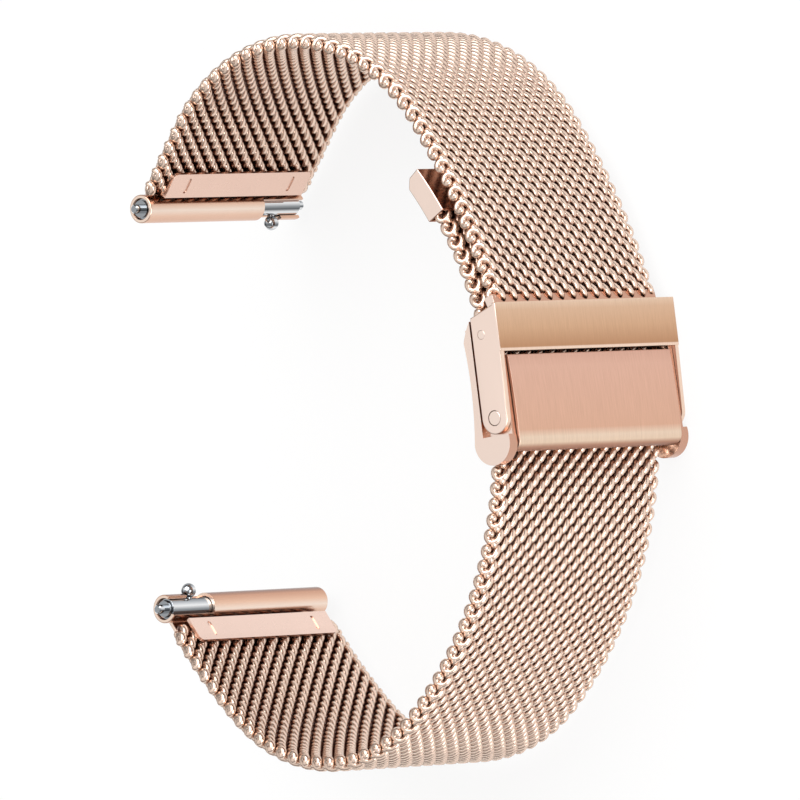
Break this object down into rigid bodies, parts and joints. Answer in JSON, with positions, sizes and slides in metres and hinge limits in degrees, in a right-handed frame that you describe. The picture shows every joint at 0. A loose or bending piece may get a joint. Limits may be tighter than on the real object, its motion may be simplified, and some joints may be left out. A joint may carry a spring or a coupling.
{
  "type": "milanese watch band",
  "caption": "Woven wire mesh watch band with a fold-over double-lock slide clasp and quick-release spring bars, closed in a loop.",
  "frame": {"origin": "centre of the band's bounding box, on the surface that its side edge rests on", "axes": "+Z is the wrist's axis, upwards with the band lying on its side; -Y points from the lugs to the clasp; +X points to the short strap"},
  "size_m": [0.0638, 0.045, 0.0244],
  "materials": {
    "mesh_wire": "rose gold plated steel wire, woven and pressed flat",
    "cover_brushed": "rose gold plating, brushed along the strap",
    "lever_brushed": "rose gold plating, brushed along the strap",
    "clasp_polished": "rose gold plating, satin to polished",
    "fitting_polished": "rose gold plating, polished",
    "pin_steel": "plated steel",
    "bar_steel": "polished stainless steel"
  },
  "bodies": {
    "tail": {"long_mesh_0": "mesh_wire", "tail_tip": "clasp_polished"},
    "clasp": {"clasp_base": "clasp_polished", "hook_pin": "pin_steel", "lever_pin": "pin_steel", "cover_rivets": "clasp_polished"},
    "lever": {"lock_lever": "lever_brushed"},
    "cover": {"safety_cover": "cover_brushed", "cover_studs": "clasp_polished"},
    "short_0": {"hook_end": "clasp_polished", "short_mesh_0": "mesh_wire"},
    "short_1": {"short_mesh_1": "mesh_wire"},
    "short_2": {"short_mesh_2": "mesh_wire"},
    "short_3": {"short_mesh_3": "mesh_wire"},
    "short_4": {"short_mesh_4": "mesh_wire"},
    "short_5": {"short_mesh_5": "mesh_wire"},
    "short_6": {"short_mesh_6": "mesh_wire", "short_end_fitting": "fitting_polished", "short_grip_plate": "fitting_polished", "short_bar_sleeve": "bar_steel", "short_bar_fixed_tip": "bar_steel", "short_bar_spring": "bar_steel"},
    "short_pin": {"short_bar_sliding_pin": "bar_steel", "short_release_knob": "bar_steel"},
    "long_1": {"long_mesh_1": "mesh_wire"},
    "long_2": {"long_mesh_2": "mesh_wire"},
    "long_3": {"long_mesh_3": "mesh_wire"},
    "long_4": {"long_mesh_4": "mesh_wire"},
    "long_5": {"long_mesh_5": "mesh_wire"},
    "long_6": {"long_mesh_6": "mesh_wire", "long_end_fitting": "fitting_polished", "long_grip_plate": "fitting_polished", "long_bar_sleeve": "bar_steel", "long_bar_fixed_tip": "bar_steel", "long_bar_spring": "bar_steel"},
    "long_pin": {"long_bar_sliding_pin": "bar_steel", "long_release_knob": "bar_steel"}
  },
  "joints": [
    {"name": "clasp_slide", "type": "hinge", "parent": "tail", "child": "clasp", "pos_m": [-0.00371, 0.01409, 0.0122], "axis": [0, 0, 1], "range_deg": [-5.93, 6.78]},
    {"name": "hook_swing", "type": "hinge", "parent": "clasp", "child": "short_0", "pos_m": [0.00679, -0.01966, 0.0122], "axis": [0, 0, -1], "range_deg": [0, 45]},
    {"name": "cover_hinge", "type": "hinge", "parent": "clasp", "child": "cover", "pos_m": [-0.00036, -0.02057, 0.0122], "axis": [0, 0, -1], "range_deg": [0, 90]},
    {"name": "lever_hinge", "type": "hinge", "parent": "clasp", "child": "lever", "pos_m": [-0.00222, -0.02151, 0.0122], "axis": [0, 0, -1], "range_deg": [0, 90]},
    {"name": "short_bend_1", "type": "hinge", "parent": "short_0", "child": "short_1", "pos_m": [0.01647, -0.01558, 0.0122], "axis": [0, 0, -1], "range_deg": [-5, 17]},
    {"name": "short_bend_2", "type": "hinge", "parent": "short_1", "child": "short_2", "pos_m": [0.02319, -0.01113, 0.0122], "axis": [0, 0, -1], "range_deg": [-5, 17]},
    {"name": "short_bend_3", "type": "hinge", "parent": "short_2", "child": "short_3", "pos_m": [0.02871, -0.00533, 0.0122], "axis": [0, 0, -1], "range_deg": [-5, 17]},
    {"name": "short_bend_4", "type": "hinge", "parent": "short_3", "child": "short_4", "pos_m": [0.03113, 0.00229, 0.0122], "axis": [0, 0, -1], "range_deg": [-5, 17]},
    {"name": "short_bend_5", "type": "hinge", "parent": "short_4", "child": "short_5", "pos_m": [0.02965, 0.01013, 0.0122], "axis": [0, 0, -1], "range_deg": [-5, 17]},
    {"name": "short_bend_6", "type": "hinge", "parent": "short_5", "child": "short_6", "pos_m": [0.02455, 0.01627, 0.0122], "axis": [0, 0, -1], "range_deg": [-5, 17]},
    {"name": "short_knob_slide", "type": "slide", "parent": "short_6", "child": "short_pin", "axis": [0, 0, 1], "range_m": [0, 0.00135], "stiffness_N_per_m": 300, "deforming": ["short_bar_spring"]},
    {"name": "long_bend_1", "type": "hinge", "parent": "tail", "child": "long_1", "pos_m": [-0.0101, -0.0191, 0.0122], "axis": [0, 0, 1], "range_deg": [-5, 17]},
    {"name": "long_bend_2", "type": "hinge", "parent": "long_1", "child": "long_2", "pos_m": [-0.01825, -0.01642, 0.0122], "axis": [0, 0, 1], "range_deg": [-5, 17]},
    {"name": "long_bend_3", "type": "hinge", "parent": "long_2", "child": "long_3", "pos_m": [-0.02546, -0.01178, 0.0122], "axis": [0, 0, 1], "range_deg": [-5, 17]},
    {"name": "long_bend_4", "type": "hinge", "parent": "long_3", "child": "long_4", "pos_m": [-0.03038, -0.00487, 0.0122], "axis": [0, 0, 1], "range_deg": [-5, 17]},
    {"name": "long_bend_5", "type": "hinge", "parent": "long_4", "child": "long_5", "pos_m": [-0.03069, 0.0036, 0.0122], "axis": [0, 0, 1], "range_deg": [-5, 17]},
    {"name": "long_bend_6", "type": "hinge", "parent": "long_5", "child": "long_6", "pos_m": [-0.02636, 0.01091, 0.0122], "axis": [0, 0, 1], "range_deg": [-5, 17]},
    {"name": "long_knob_slide", "type": "slide", "parent": "long_6", "child": "long_pin", "axis": [0, 0, -1], "range_m": [0, 0.00135], "stiffness_N_per_m": 300, "deforming": ["long_bar_spring"]}
  ],
  "couplings": [
    {"joint": "cover_hinge", "follows": "hook_swing", "ratio": 2}
  ]
}
